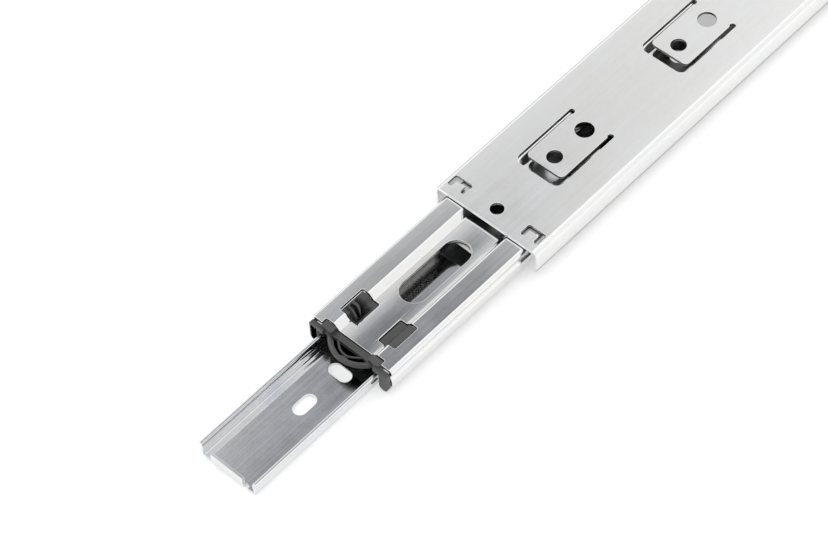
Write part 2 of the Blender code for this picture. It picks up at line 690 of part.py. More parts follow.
def make_front_bumper(parts, cutters, material):
    """Black plastic end piece: bar, two ears, a spring leaf, and two arms that end in the windows."""
    bar_back = MIDDLE_FRONT - NOTCH_DEPTH + BUMPER_GAP
    bar_front = MIDDLE_FRONT + BAR_FRONT
    bar_half = NOTCH_HALF - BUMPER_GAP
    bar = box_points(bar_back, bar_front, -bar_half, bar_half, SMALL_EDGE)
    pieces = [extrude_outline(bar, BUMPER_BOTTOM, BAR_TOP)]
    for side in (-1, 1):
        hump_ends = sorted((side * HUMP_INNER, side * (bar_half - 0.05 * MM)))
        hump = box_points(bar_back + 0.05 * MM, bar_front - 0.05 * MM, *hump_ends, SMALL_EDGE)
        pieces.append(extrude_outline(hump, BUMPER_BOTTOM + 0.5 * MM, BUMPER_TOP))
        ear_back = MIDDLE_FRONT + BUMPER_GAP
        pieces.append(extrude_outline(ear_points(side), ear_back, MIDDLE_FRONT + EAR_FACE, axes="yzx"))

    pieces.append(extrude_outline(leaf_points(), *LEAF_HEIGHTS))
    rib_front = MIDDLE_FRONT + LEAF_REACH - SMALL_EDGE
    rib = box_points(bar_front - SMALL_EDGE, rib_front, -LEAF_RIB_HALF, LEAF_RIB_HALF)
    pieces.append(extrude_outline(rib, *LEAF_RIB_HEIGHTS))

    panel_under = PANEL_Z - SHEET
    window_back = MIDDLE_FRONT - WINDOW[1]
    window_front = MIDDLE_FRONT - WINDOW[0]
    for side in (-1, 1):
        arm_ends = sorted((side * (WINDOW_INNER - ARM_INWARD), side * (WINDOW_INNER + ARM_OUTWARD)))
        arm = box_points(window_back - ARM_END, bar_back + JOIN_LAP, *arm_ends)
        pieces.append(extrude_outline(arm, BUMPER_BOTTOM - 0.05 * MM, panel_under - BUMPER_GAP))
        plate_ends = sorted((side * (WINDOW_INNER + BUMPER_GAP), side * (WINDOW_OUTER - BUMPER_GAP)))
        plate = box_points(window_back + BUMPER_GAP, window_front - BUMPER_GAP, *plate_ends, SMALL_EDGE)
        plate_top = panel_under + BUMPER_GAP + PLATE_RISE
        pieces.append(extrude_outline(plate, BUMPER_BOTTOM - 0.02 * MM, plate_top))
        step_ends = sorted((side * PLATE_STEP, side * (WINDOW_OUTER - BUMPER_GAP - 0.05 * MM)))
        step_rear, step_front = window_back + BUMPER_GAP + 0.05 * MM, window_front - BUMPER_GAP - 0.05 * MM
        step = box_points(step_rear, step_front, *step_ends, SMALL_EDGE)
        pieces.append(extrude_outline(step, BUMPER_BOTTOM + 0.3 * MM, SHOULDER_Z - 0.6 * MM))
    return join_pieces("front_bumper", pieces, parts, cutters, material)


def make_rear_bumper(parts, cutters, material):
    """Plastic buffer across the closed end of the cabinet member."""
    back = CABINET_FRONT - CABINET_LENGTH + REAR_BUMPER_SETBACK
    front = back + REAR_BUMPER_DEPTH
    half = REAR_BUMPER_HALF
    top = SLIDE_DEPTH - SHEET - BUMPER_GAP
    block = extrude_outline(
        box_points(back, front, -half, half, REAR_BUMPER_CORNER), REAR_BUMPER_BOTTOM, top
    )
    bumper = make_object("rear_bumper", block, parts, material)
    reliefs = [
        slot_points(back + RELIEF_START, front + 3 * RELIEF_HALF, side * RELIEF_PLACE, RELIEF_HALF, 6)
        for side in (-1, 1)
    ]
    low = REAR_BUMPER_BOTTOM - MM
    cut_outlines(bumper, "cutter_rear_reliefs", reliefs, low, top + MM, cutters)


def make_lever(parts, cutters, material):
    """Release lever that turns on a rivet in the drawer member's web."""
    x = DRAWER_FRONT - LEVER_PIVOT
    low = SHEET + LEVER_GAP
    back = x - LEVER_LENGTH / 2
    front = x + LEVER_LENGTH / 2
    boss = LEVER_BOSS_LENGTH / 2
    outline = rounded_path(
        [
            (back, -LEVER_HALF, 1 * MM),
            (front, -LEVER_NOSE_HALF, 1 * MM),
            (front, LEVER_NOSE_HALF, 1 * MM),
            (x + boss, LEVER_BOSS_HALF, 4 * MM),
            (x - boss, LEVER_BOSS_HALF, 4 * MM),
            (back, LEVER_HALF, 1 * MM),
        ],
        closed=True,
    )
    top = low + LEVER_HEIGHT
    lever = make_object("disconnect_lever", extrude_outline(outline, low, top), parts, material)
    bore = disc_points(x, 0, RIVET_RADIUS + RIVET_CLEARANCE, 24)
    cut_outlines(lever, "cutter_lever_bore", [bore], low - MM, top + MM, cutters)


def make_lever_rivet(parts, material):
    """A turned rivet, its head above the lever."""
    under_head = SHEET + LEVER_HEIGHT + 2 * LEVER_GAP
    foot = LEVER_GAP / 2
    profile = [
        (0, under_head + RIVET_HEAD),
        (0.7 * RIVET_HEAD_RADIUS, under_head + RIVET_HEAD),
        (RIVET_HEAD_RADIUS, under_head + RIVET_HEAD / 2),
        (RIVET_HEAD_RADIUS, under_head),
        (RIVET_RADIUS, under_head),
        (RIVET_RADIUS, foot),
        (0, foot),
    ]
    bm = bmesh.new()
    verts = [bm.verts.new((radius, 0, z)) for radius, z in profile]
    for above, below in zip(verts, verts[1:]):
        bm.edges.new((above, below))
    rivet = make_object("lever_rivet", bm, parts, material)
    rivet.location = (DRAWER_FRONT - LEVER_PIVOT, 0, 0)
    turn = rivet.modifiers.new("turned", "SCREW")
    turn.steps = 20
    turn.render_steps = 20
    turn.use_merge_vertices = True
    turn.merge_threshold = 0.00001


def main():
    clear_scene()
    parts = new_collection("drawer_slide")
    cutters = new_collection("cutters")
    zinc = make_material("zinc_plated_steel", (0.62, 0.63, 0.63), 0.32, 1.0)
    strip = make_material("retainer_steel", (0.50, 0.51, 0.52), 0.40, 1.0)
    ball = make_material("ball_steel", (0.72, 0.72, 0.73), 0.12, 1.0)
    plastic = make_material("black_plastic", (0.035, 0.035, 0.037), 0.50, 0.0)

    make_cabinet_member(parts, cutters, zinc)
    make_middle_member(parts, cutters, zinc)
    make_drawer_member(parts, cutters, zinc)
    make_outer_retainers(parts, cutters, strip)
    make_inner_retainer(parts, cutters, strip)
    make_balls(parts, ball)
    make_front_bumper(parts, cutters, plastic)
    make_rear_bumper(parts, cutters, plastic)
    make_lever(parts, cutters, plastic)
    make_lever_rivet(parts, strip)


main()
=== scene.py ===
import math

import bmesh
import bpy
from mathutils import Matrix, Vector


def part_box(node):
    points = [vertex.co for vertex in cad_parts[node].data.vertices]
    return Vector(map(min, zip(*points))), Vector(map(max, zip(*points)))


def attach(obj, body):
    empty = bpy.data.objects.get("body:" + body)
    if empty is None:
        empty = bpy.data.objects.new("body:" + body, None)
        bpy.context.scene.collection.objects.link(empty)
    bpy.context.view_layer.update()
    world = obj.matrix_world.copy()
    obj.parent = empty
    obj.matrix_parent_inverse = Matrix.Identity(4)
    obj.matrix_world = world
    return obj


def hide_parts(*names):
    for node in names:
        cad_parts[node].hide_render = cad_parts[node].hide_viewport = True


mm = 0.001

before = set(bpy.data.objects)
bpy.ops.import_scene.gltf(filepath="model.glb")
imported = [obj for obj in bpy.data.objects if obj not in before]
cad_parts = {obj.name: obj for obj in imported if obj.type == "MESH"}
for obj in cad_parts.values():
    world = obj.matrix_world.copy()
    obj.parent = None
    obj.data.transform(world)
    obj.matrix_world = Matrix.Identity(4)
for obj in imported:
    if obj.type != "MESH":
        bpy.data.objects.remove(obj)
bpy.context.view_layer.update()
print("frame loaded:", len(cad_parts), "nodes")

# places that every piece below is built from, all read from the frame
outerLow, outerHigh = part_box("outer_member")
middleLow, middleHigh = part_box("intermediate_member")
drawerLow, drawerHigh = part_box("inner_member")
outerBallLow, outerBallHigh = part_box("outer_ball_09")
innerBallLow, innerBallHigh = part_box("inner_ball_09")
outerRow = ((outerBallLow.y + outerBallHigh.y) / 2, (outerBallLow.z + outerBallHigh.z) / 2)
innerRow = ((innerBallLow.y + innerBallHigh.y) / 2, (innerBallLow.z + innerBallHigh.z) / 2)
ballRadius = (outerBallHigh.z - outerBallLow.z) / 2

sheet = {
    "thickness": 1.2 * mm,
    "raceGap": 0.05 * mm,  # how much wider the race is than the ball
    "bend": 1.4 * mm,  # outside radius of the tight bends
    "edge": 0.21 * mm,  # rounding of a punched or sheared edge
    "arcSteps": 12,
}
raceRadius = ballRadius + sheet["raceGap"]


def arcPoints(centre, radius, start, end, steps):
    turns = [math.radians(start + (end - start) * i / steps) for i in range(steps + 1)]
    return [(centre[0] + radius * math.cos(t), centre[1] + radius * math.sin(t)) for t in turns]


def filletPoints(before, corner, after, radius, steps):
    toBefore = [before[i] - corner[i] for i in (0, 1)]
    toAfter = [after[i] - corner[i] for i in (0, 1)]
    toBefore = [v / math.hypot(*toBefore) for v in toBefore]
    toAfter = [v / math.hypot(*toAfter) for v in toAfter]
    half = math.acos(max(-1, min(1, sum(a * b for a, b in zip(toBefore, toAfter))))) / 2
    along = [toBefore[i] + toAfter[i] for i in (0, 1)]
    reach = radius / math.sin(half) / math.hypot(*along)
    centre = [corner[i] + along[i] * reach for i in (0, 1)]
    back = radius / math.tan(half)
    first = [corner[i] + toBefore[i] * back - centre[i] for i in (0, 1)]
    last = [corner[i] + toAfter[i] * back - centre[i] for i in (0, 1)]
    start = math.atan2(first[1], first[0])
    turn = math.atan2(first[0] * last[1] - first[1] * last[0], first[0] * last[0] + first[1] * last[1])
    return arcPoints(centre, radius, math.degrees(start), math.degrees(start + turn), steps)


def roundedPath(corners, closed=False, steps=8):
    points = []
    for i, corner in enumerate(corners):
        if len(corner) == 2 or not (closed or 0 < i < len(corners) - 1):
            points.append(tuple(corner[:2]))
            continue
        before = corners[i - 1][:2]
        after = corners[(i + 1) % len(corners)][:2]
        points += filletPoints(before, corner[:2], after, corner[2], steps)
    return points


def roundedBox(xLow, xHigh, yLow, yHigh, radius, steps=6):
    corners = [(xLow, yLow, radius), (xHigh, yLow, radius), (xHigh, yHigh, radius), (xLow, yHigh, radius)]
    return roundedPath(corners, closed=True, steps=steps)


def disc(x, y, radius, steps=56):
    return arcPoints((x, y), radius, 0, 360 - 360 / steps, steps - 1)


def slotAlongX(xLow, xHigh, y, half, steps=20):
    ahead = arcPoints((xHigh - half, y), half, -90, 90, steps)
    return ahead + arcPoints((xLow + half, y), half, 90, 270, steps)


def slotAlongY(x, yLow, yHigh, half, steps=20):
    left = arcPoints((x, yHigh - half), half, 0, 180, steps)
    return left + arcPoints((x, yLow + half), half, 180, 360, steps)


# outline of a band that runs smoothly through points, with a half width at each of them
def ribbon(points, halves, steps=6):
    rows = [(*point, half) for point, half in zip(points, halves)]
    rows = [rows[0], *rows, rows[-1]]
    line = []
    for a, b, c, d in zip(rows, rows[1:], rows[2:], rows[3:]):
        for i in range(steps):
            s = i / steps
            line.append([0.5 * (2 * b[k] + (c[k] - a[k]) * s + (2 * a[k] - 5 * b[k] + 4 * c[k] - d[k]) * s**2
                                + (3 * b[k] - a[k] - 3 * c[k] + d[k]) * s**3) for k in range(3)])
    line.append(list(rows[-1]))
    left, right = [], []
    for i, (x, y, half) in enumerate(line):
        before, after = line[max(i - 1, 0)], line[min(i + 1, len(line) - 1)]
        along = (after[0] - before[0], after[1] - before[1])
        length = math.hypot(*along)
        across = (-along[1] / length * half, along[0] / length * half)
        left.append((x + across[0], y + across[1]))
        right.append((x - across[0], y - across[1]))
    return left + right[::-1]


# from the middle out to reach, falling away from z by the crown at the full half width
def crownedFlat(half, reach, z, crown, steps):
    return [(y, z - crown * (y / half) ** 2) for y in (i / steps * reach for i in range(steps + 1))]


def mirrored(half):
    return [(-y, z) for y, z in reversed(half)] + half[1:]


def objectFrom(bm, name):
    mesh = bpy.data.meshes.new(name)
    bm.to_mesh(mesh)
    bm.free()
    obj = bpy.data.objects.new(name, mesh)
    bpy.context.scene.collection.objects.link(obj)
    return obj


# closed solid whose outline is in the first two axes and whose length is along the third
def prism(points, low, high, axes="xyz"):
    bm = bmesh.new()
    order = ["xyz".index(letter) for letter in axes]
    verts = []
    for point in points:
        place = [0.0, 0.0, 0.0]
        place[order[0]], place[order[1]], place[order[2]] = point[0], point[1], low
        verts.append(bm.verts.new(place))
    face = bm.faces.new(verts)
    step = [0.0, 0.0, 0.0]
    step[order[2]] = high - low
    moved = bmesh.ops.extrude_face_region(bm, geom=[face])["geom"]
    bmesh.ops.translate(bm, verts=[v for v in moved if isinstance(v, bmesh.types.BMVert)], vec=step)
    bmesh.ops.recalc_face_normals(bm, faces=bm.faces)
    return bm


# one object that holds several separate solids, as a cutter
def combine(solids, name):
    whole = bmesh.new()
    for bm in solids:
        mesh = bpy.data.meshes.new("part")
        bm.to_mesh(mesh)
        bm.free()
        whole.from_mesh(mesh)
        bpy.data.meshes.remove(mesh)
    return objectFrom(whole, name)


def boolean(obj, other, operation):
    modifier = obj.modifiers.new(operation.lower(), "BOOLEAN")
    modifier.operation = operation
    modifier.solver = "EXACT"
    modifier.object = other


def bake(obj):  # applies every modifier
    graph = bpy.context.evaluated_depsgraph_get()
    mesh = bpy.data.meshes.new_from_object(obj.evaluated_get(graph), depsgraph=graph)
    old = obj.data
    obj.modifiers.clear()
    obj.data = mesh
    bpy.data.meshes.remove(old)


def drop(obj):
    mesh = obj.data
    bpy.data.objects.remove(obj)
    bpy.data.meshes.remove(mesh)


def cutOut(obj, solids):
    cutter = combine(solids, obj.name + "Cutter")
    boolean(obj, cutter, "DIFFERENCE")
    bake(obj)
    drop(cutter)


def joinOn(obj, solids):
    for bm in solids:
        extra = objectFrom(bm, obj.name + "Extra")
        boolean(obj, extra, "UNION")
        bake(obj)
        drop(extra)


def roundEdges(obj, width, angle=40, segments=2):
    bm = bmesh.new()
    bm.from_mesh(obj.data)
    bmesh.ops.remove_doubles(bm, verts=bm.verts, dist=0.004 * mm)
    bmesh.ops.dissolve_limit(bm, angle_limit=math.radians(0.05), verts=bm.verts, edges=bm.edges)
    bm.to_mesh(obj.data)
    bm.free()
    modifier = obj.modifiers.new("edges", "BEVEL")
    modifier.width = width
    modifier.segments = segments
    modifier.limit_method = "ANGLE"
    modifier.angle_limit = math.radians(angle)
    modifier.use_clamp_overlap = False
    modifier.miter_outer = "MITER_ARC"
    bake(obj)


def smooth(obj, angle=38):
    obj.data.shade_smooth()
    obj.data.set_sharp_from_angle(angle=math.radians(angle))
    modifier = obj.modifiers.new("normals", "WEIGHTED_NORMAL")
    modifier.keep_sharp = True
    modifier.weight = 60
    bake(obj)


# open surface along X through a section in Y and Z
def openSheet(section, rows):
    bm = bmesh.new()
    lines = [[bm.verts.new((x, y, z)) for y, z in section] for x in rows]
    for line, following in zip(lines, lines[1:]):
        for i in range(len(section) - 1):
            bm.faces.new((line[i], following[i], following[i + 1], line[i + 1]))
    return bm


def thicken(obj, thickness):
    modifier = obj.modifiers.new("sheet", "SOLIDIFY")
    modifier.thickness = thickness
    modifier.offset = -1
    modifier.use_even_offset = True
    bake(obj)


def fit(obj, body, material, slot, *nodes):
    obj.data.materials.clear()
    obj.data.materials.append(material)
    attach(obj, body)
    if nodes:
        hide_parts(*nodes)
    print("made", obj.name, len(obj.data.polygons), "faces")


# short way to add and link the nodes of one material
class Nodes:
    def __init__(self, name):
        self.material = bpy.data.materials.new(name)
        self.material.use_nodes = True
        self.tree = self.material.node_tree
        self.shader = self.tree.nodes["Principled BSDF"]
        self.coordinates = self.add("ShaderNodeTexCoord")
        self.place = self.coordinates.outputs["Object"]

    def add(self, kind, **values):
        node = self.tree.nodes.new(kind)
        for key, value in values.items():
            setattr(node, key, value)
        return node

    def link(self, source, target):
        self.tree.links.new(source, target)

    def stretched(self, scale):
        mapping = self.add("ShaderNodeMapping")
        mapping.inputs["Scale"].default_value = scale
        self.link(self.place, mapping.inputs["Vector"])
        return mapping.outputs["Vector"]

    def noise(self, scale, detail=4, roughness=0.55, stretch=(1, 1, 1)):
        node = self.add("ShaderNodeTexNoise")
        node.inputs["Scale"].default_value = scale
        node.inputs["Detail"].default_value = detail
        node.inputs["Roughness"].default_value = roughness
        self.link(self.stretched(stretch), node.inputs["Vector"])
        return node.outputs["Fac"]

    def spread(self, value, fromLow, fromHigh, toLow, toHigh):
        node = self.add("ShaderNodeMapRange")
        for i, number in enumerate((fromLow, fromHigh, toLow, toHigh), 1):
            node.inputs[i].default_value = number
        self.link(value, node.inputs[0])
        return node.outputs[0]

    def maths(self, first, second, operation="ADD"):
        node = self.add("ShaderNodeMath", operation=operation)
        for i, item in enumerate((first, second)):
            if isinstance(item, (int, float)):
                node.inputs[i].default_value = item
            else:
                self.link(item, node.inputs[i])
        return node.outputs[0]

    def mix(self, share, first, second, blend="MIX"):
        node = self.add("ShaderNodeMix", data_type="RGBA", blend_type=blend)
        for socket, item in ((0, share), (6, first), (7, second)):
            if isinstance(item, (int, float)):
                node.inputs[socket].default_value = item
            elif isinstance(item, tuple):
                node.inputs[socket].default_value = (*item, 1)
            else:
                self.link(item, node.inputs[socket])
        return node.outputs[2]

    def bump(self, height, distance, strength=1.0, under=None):
        node = self.add("ShaderNodeBump")
        node.inputs["Strength"].default_value = strength
        node.inputs["Distance"].default_value = distance
        self.link(height, node.inputs["Height"])
        if under:
            self.link(under, node.inputs["Normal"])
        return node.outputs["Normal"]


# 1 on faces that look down and on punched walls: where the painted shade goes
def paintedShadeMask(n, look):
    normal = n.add("ShaderNodeSeparateXYZ")
    n.link(n.coordinates.outputs["Normal"], normal.inputs[0])
    place = n.add("ShaderNodeSeparateXYZ")
    n.link(n.place, place.inputs[0])
    across = n.maths(place.outputs["Y"], 0, "ABSOLUTE")
    steep = n.spread(n.maths(normal.outputs["Z"], 0, "ABSOLUTE"), 0.2, 0.5, look["wall"], 0)
    inside = n.spread(across, look["inside"], look["inside"] + 0.4 * mm, 1, 0)
    behind = n.spread(place.outputs["X"], look["front"] - 0.5 * mm, look["front"] - 0.25 * mm, 1, 0)
    wall = n.maths(n.maths(steep, inside, "MULTIPLY"), behind, "MULTIPLY")
    return n.maths(n.spread(normal.outputs["Z"], -0.35, -0.1, 1, 0), wall, "MAXIMUM")


# bright zinc plate: rolling streaks along the sheet, cloudy plating, fine grain, a painted highlight on sharp
# edges and, when asked for, painted shade on faces that look down and on punched walls
def zincFinish(name, look):
    n = Nodes(name)
    streaks = n.noise(1.0, 6, 0.65, (12, 900, 900))
    clouds = n.noise(55, 5, 0.6)
    spangle = n.noise(420, 3, 0.7)
    cool = n.spread(clouds, 0.38, 0.68, look["coolLow"], look["coolHigh"])
    colour = n.mix(cool, look["warm"], look["cool"])
    shade = n.maths(n.spread(spangle, 0.3, 0.7, -1, 1), n.spread(streaks, 0.3, 0.7, -1, 1))
    shade = n.spread(shade, -2, 2, 1 - look["mottle"], 1 + look["mottle"] * 0.4)
    tint = n.mix(1.0, colour, shade, "MULTIPLY")
    # painted highlight: sharp convex edges are mixed towards a light zinc colour
    pointed = n.add("ShaderNodeNewGeometry").outputs["Pointiness"]
    paintedEdgeHighlight = n.spread(pointed, 0.53, 0.62, 0, 0.5)
    tint = n.mix(paintedEdgeHighlight, tint, (0.93, 0.93, 0.92))
    rough = n.spread(n.maths(clouds, n.spread(streaks, 0.3, 0.7, -0.12, 0.12)), 0.3, 0.75, *look["rough"])
    # painted shade: faces that look down and punched walls inside the member are mixed towards near black and
    # made rougher
    if look.get("paintedShade"):
        toneAndShade = n.spread(paintedShadeMask(n, look), 0, 1, 0, look["paintedShade"])
        tint = n.mix(toneAndShade, tint, (0.10, 0.098, 0.088))
        rough = n.maths(rough, n.maths(toneAndShade, 0.2, "MULTIPLY"))
    n.link(tint, n.shader.inputs["Base Color"])
    n.link(rough, n.shader.inputs["Roughness"])
    n.shader.inputs["Metallic"].default_value = 1.0
    fine = n.bump(streaks, 0.000006, 0.3)
    n.link(n.bump(spangle, 0.00002, look["grain"], fine), n.shader.inputs["Normal"])
    return n.material


# moulded black plastic with a fine grain and a painted highlight on sharp edges
def plasticFinish(name, look):
    n = Nodes(name)
    grain = n.noise(2600, 2, 0.6)
    flow = n.noise(120, 4, 0.55)
    colour = n.mix(n.spread(flow, 0.35, 0.7, 0, 1), look["dark"], look["light"])
    # painted highlight: sharp edges are mixed towards a lighter grey
    pointed = n.add("ShaderNodeNewGeometry").outputs["Pointiness"]
    paintedEdgeHighlight = n.spread(pointed, 0.52, 0.66, 0, 0.55)
    n.link(n.mix(paintedEdgeHighlight, colour, look["highlightColour"]), n.shader.inputs["Base Color"])
    n.link(n.spread(flow, 0.3, 0.7, *look["rough"]), n.shader.inputs["Roughness"])
    n.link(n.bump(grain, 0.00003, 0.35), n.shader.inputs["Normal"])
    return n.material


def ballFinish():
    n = Nodes("polishedBallSteel")
    toneAndShade = n.noise(700, 3, 0.5)
    n.link(n.mix(n.spread(toneAndShade, 0.4, 0.7, 0, 1), (0.80, 0.80, 0.81), (0.70, 0.69, 0.66)),
           n.shader.inputs["Base Color"])
    n.link(n.spread(toneAndShade, 0.3, 0.7, 0.08, 0.2), n.shader.inputs["Roughness"])
    n.shader.inputs["Metallic"].default_value = 1.0
    return n.material


outerZinc = zincFinish("outerZinc", {
    "warm": (0.815, 0.812, 0.800), "cool": (0.790, 0.795, 0.800), "coolLow": 0.0, "coolHigh": 1.0,
    "mottle": 0.035, "rough": (0.15, 0.21), "grain": 0.05,
    # this row sets the painted shade on faces that look down and on punched walls
    "paintedShade": 0.85, "wall": 0.9, "inside": outerHigh.y - 1.6 * mm, "front": outerHigh.x})
middleZinc = zincFinish("middleZinc", {
    "warm": (0.815, 0.806, 0.788), "cool": (0.765, 0.780, 0.805), "coolLow": 0.1, "coolHigh": 1.0,
    "mottle": 0.06, "rough": (0.08, 0.14), "grain": 0.06,
    # this row sets the painted shade on faces that look down and on punched walls
    "paintedShade": 0.65, "wall": 0.8, "inside": 12.9 * mm, "front": middleHigh.x})
drawerZinc = zincFinish("drawerZinc", {
    "warm": (0.770, 0.773, 0.773), "cool": (0.690, 0.708, 0.745), "coolLow": 0.1, "coolHigh": 1.0,
    "mottle": 0.13, "rough": (0.09, 0.16), "grain": 0.10})
stripZinc = zincFinish("stripZinc", {
    "warm": (0.66, 0.655, 0.63), "cool": (0.60, 0.62, 0.65), "coolLow": 0.0, "coolHigh": 1.0,
    "mottle": 0.10, "rough": (0.24, 0.34), "grain": 0.12})
ballSteel = ballFinish()
bumperBlack = plasticFinish("bumperBlack", {
    # the third colour is the painted highlight on sharp edges
    "dark": (0.034, 0.034, 0.035), "light": (0.062, 0.061, 0.060), "highlightColour": (0.11, 0.108, 0.105),
    "rough": (0.36, 0.52)})
leverBlack = plasticFinish("leverBlack", {
    # the third colour is the painted highlight on sharp edges
    "dark": (0.020, 0.020, 0.021), "light": (0.036, 0.036, 0.037), "highlightColour": (0.08, 0.08, 0.08),
    "rough": (0.42, 0.58)})
print("finishes ready")


outer = {
    "corner": 2.2 * mm,
    "curlStart": 4.1 * mm,
    "curlIn": 0.5 * mm,
    "curlBend": 2.0 * mm,
    "crown": 0.16 * mm,
    "frontHole": (6.2 * mm, 5.0 * mm),  # distance back from the front end, diameter
    "rearHoles": ((212.0 * mm, 5.0 * mm), (228.0 * mm, 5.8 * mm)),
    "tongueCount": 3,
    "tonguePitch": 66.3 * mm,
    "tongueOpening": 26.0 * mm,
    "tongueTip": 30.1 * mm,
    "tongueRoot": 56.0 * mm,
    "tongueHalf": 8.2 * mm,
    "tongueSlit": 1.55 * mm,
    "tongueOpeningCorner": 3.0 * mm,
    "tongueTipCorner": 2.0 * mm,
    "tongueHoles": ((35.8 * mm, 5.8 * mm), (51.5 * mm, 7.0 * mm)),
    "slitEnd": 1.05 * mm,  # radius of the relief at the end of each slit
    "slitEndInward": 0.25 * mm,
    "tabCentre": 16.45 * mm,
    "tabHalf": 1.95 * mm,
    "tabSlit": 1.9 * mm,
    "tabRoot": 3.4 * mm,
    "tabTip": 6.4 * mm,
    "tabEnd": 8.3 * mm,
    "tabOpeningCorner": 0.8 * mm,
    "tabTipCorner": 0.5 * mm,
}


def tongueSlit(xOpen, xTip, xRoot, y, half, slit, openCorner, tipCorner):
    wide = half + slit
    end = 0.48 * slit
    return roundedPath([
        (xRoot, y - wide, end), (xOpen, y - wide, openCorner), (xOpen, y + wide, openCorner),
        (xRoot, y + wide, end), (xRoot, y + half, end), (xTip, y + half, tipCorner),
        (xTip, y - half, tipCorner), (xRoot, y - half, end),
    ], closed=True)


def makeOuterMember():
    half = outerHigh.y
    flat = half - outer["corner"]
    top = outerHigh.z
    web = crownedFlat(flat, flat, top, outer["crown"], 12)
    side = roundedPath([
        (flat, top - outer["crown"]),
        (half, top - outer["crown"], outer["corner"] * 0.98),
        (half, outer["curlStart"], outer["curlBend"]),
        (half - outer["curlIn"], outerLow.z),
    ], steps=sheet["arcSteps"])
    section = mirrored(web + side[2:])
    obj = objectFrom(openSheet(section, (outerLow.x, outerHigh.x)), "outerMember")
    thicken(obj, sheet["thickness"])
    low = top - 2.2 * sheet["thickness"]
    high = top + sheet["thickness"]
    front = outerHigh.x
    shapes = []
    holes = [outer["frontHole"], *outer["rearHoles"]]
    for i in range(outer["tongueCount"]):
        start = front - i * outer["tonguePitch"]
        shapes.append(tongueSlit(
            start - outer["tongueOpening"], start - outer["tongueTip"], start - outer["tongueRoot"], 0,
            outer["tongueHalf"], outer["tongueSlit"], outer["tongueOpeningCorner"],
            outer["tongueTipCorner"]))
        holes += [(place + i * outer["tonguePitch"], size) for place, size in outer["tongueHoles"]]
    cutOut(obj, [prism(points, low, high) for points in shapes])
    rounds = [disc(front - place, 0, size / 2) for place, size in holes]
    for i in range(outer["tongueCount"]):
        x = front - i * outer["tonguePitch"] - outer["tongueRoot"] + outer["slitEnd"]
        for side in (-1, 1):
            y = side * (outer["tongueHalf"] + outer["tongueSlit"] / 2 - outer["slitEndInward"])
            rounds.append(disc(x, y, outer["slitEnd"], 28))
    cutOut(obj, [prism(points, low, high) for points in rounds])
    tabs = [tongueSlit(
        front - outer["tabEnd"], front - outer["tabTip"], front - outer["tabRoot"], side * outer["tabCentre"],
        outer["tabHalf"], outer["tabSlit"], outer["tabOpeningCorner"], outer["tabTipCorner"])
        for side in (-1, 1)]
    cutOut(obj, [prism(points, low, high) for points in tabs])
    roundEdges(obj, sheet["edge"])
    smooth(obj)
    fit(obj, "cabinet_side", outerZinc, "zinc_sheet", "outer_member")


makeOuterMember()


middle = {
    "shoulderZ": middleHigh.z,
    "panelZ": middleHigh.z - 2.05 * mm,
    "panelHalf": 7.45 * mm,
    "shoulderStart": 9.6 * mm,
    "wallHalf": outerRow[0] - 1.567 * mm,
    "panelCrown": 0.10 * mm,
    "panelBend": 0.7 * mm,
    "accessHalf": 5.2 * mm,
    "accessSlots": ((25.2 * mm, 56.4 * mm), (92.0 * mm, 122.0 * mm), (176.0 * mm, 206.0 * mm)),
    "window": (7.6 * mm, 18.7 * mm),
    "windowInner": 4.7 * mm,
    "windowOuter": 12.5 * mm,
    "notchHalf": 13.2 * mm,
    "notchDepth": 2.1 * mm,
}


def grooveBend(groove, wall, side):
    across = groove[0] - (wall - sheet["bend"])
    along = math.sqrt((raceRadius + sheet["bend"]) ** 2 - across**2)
    return (wall - sheet["bend"], groove[1] + side * along), math.degrees(math.atan2(along, across))


def middleSection():
    bend = sheet["bend"]
    z = middle["shoulderZ"]
    fall = z - bend - outerRow[1]
    across = math.sqrt((raceRadius + bend) ** 2 - fall**2)
    corner = (outerRow[0] - across, z - bend)
    cornerTurn = math.degrees(math.atan2(fall, across))
    lower, lowerTurn = grooveBend(outerRow, middle["wallHalf"], -1)
    steps = sheet["arcSteps"]
    panel = crownedFlat(middle["panelHalf"], middle["panelHalf"] - middle["panelBend"], middle["panelZ"],
                        middle["panelCrown"], 8)
    slope = roundedPath([
        panel[-1],
        (middle["panelHalf"], panel[-1][1] - 0.02 * mm, 0.6 * mm),
        (middle["shoulderStart"], z, bend),
        (corner[0], z),
    ], steps=8)
    shoulderStart = slope[-2][0]
    half = (
        panel + slope[1:-1]
        + [(shoulderStart + (corner[0] - shoulderStart) * i / 10, z) for i in range(1, 11)]
        + arcPoints(corner, bend, 90, -cornerTurn, 16)[1:]
        + arcPoints(outerRow, raceRadius, 180 - cornerTurn, 180 + lowerTurn, steps)[1:]
        + arcPoints(lower, bend, lowerTurn, 0, 6)[1:]
        + [(middle["wallHalf"], middleLow.z)]
    )
    return mirrored(half)


def makeMiddleMember():
    obj = objectFrom(openSheet(middleSection(), (middleLow.x, middleHigh.x)), "intermediateMember")
    thicken(obj, sheet["thickness"])
    low = middle["panelZ"] - 2.2 * sheet["thickness"]
    high = middle["shoulderZ"] + sheet["thickness"]
    front = middleHigh.x
    slots = [slotAlongX(front - far, front - near, 0, middle["accessHalf"])
             for near, far in middle["accessSlots"]]
    windows = []
    for side in (-1, 1):
        ends = sorted((side * middle["windowInner"], side * middle["windowOuter"]))
        windows.append(roundedBox(front - middle["window"][1], front - middle["window"][0], *ends, 0.7 * mm))
    notch = roundedBox(front - middle["notchDepth"], front + 3 * mm, -middle["notchHalf"],
                       middle["notchHalf"], 0.5 * mm)
    cutOut(obj, [prism(points, low, high) for points in slots + windows])
    cutOut(obj, [prism(notch, low, high)])
    roundEdges(obj, sheet["edge"])
    smooth(obj)
    fit(obj, "middle_side", middleZinc, "zinc_sheet", "intermediate_member")


makeMiddleMember()


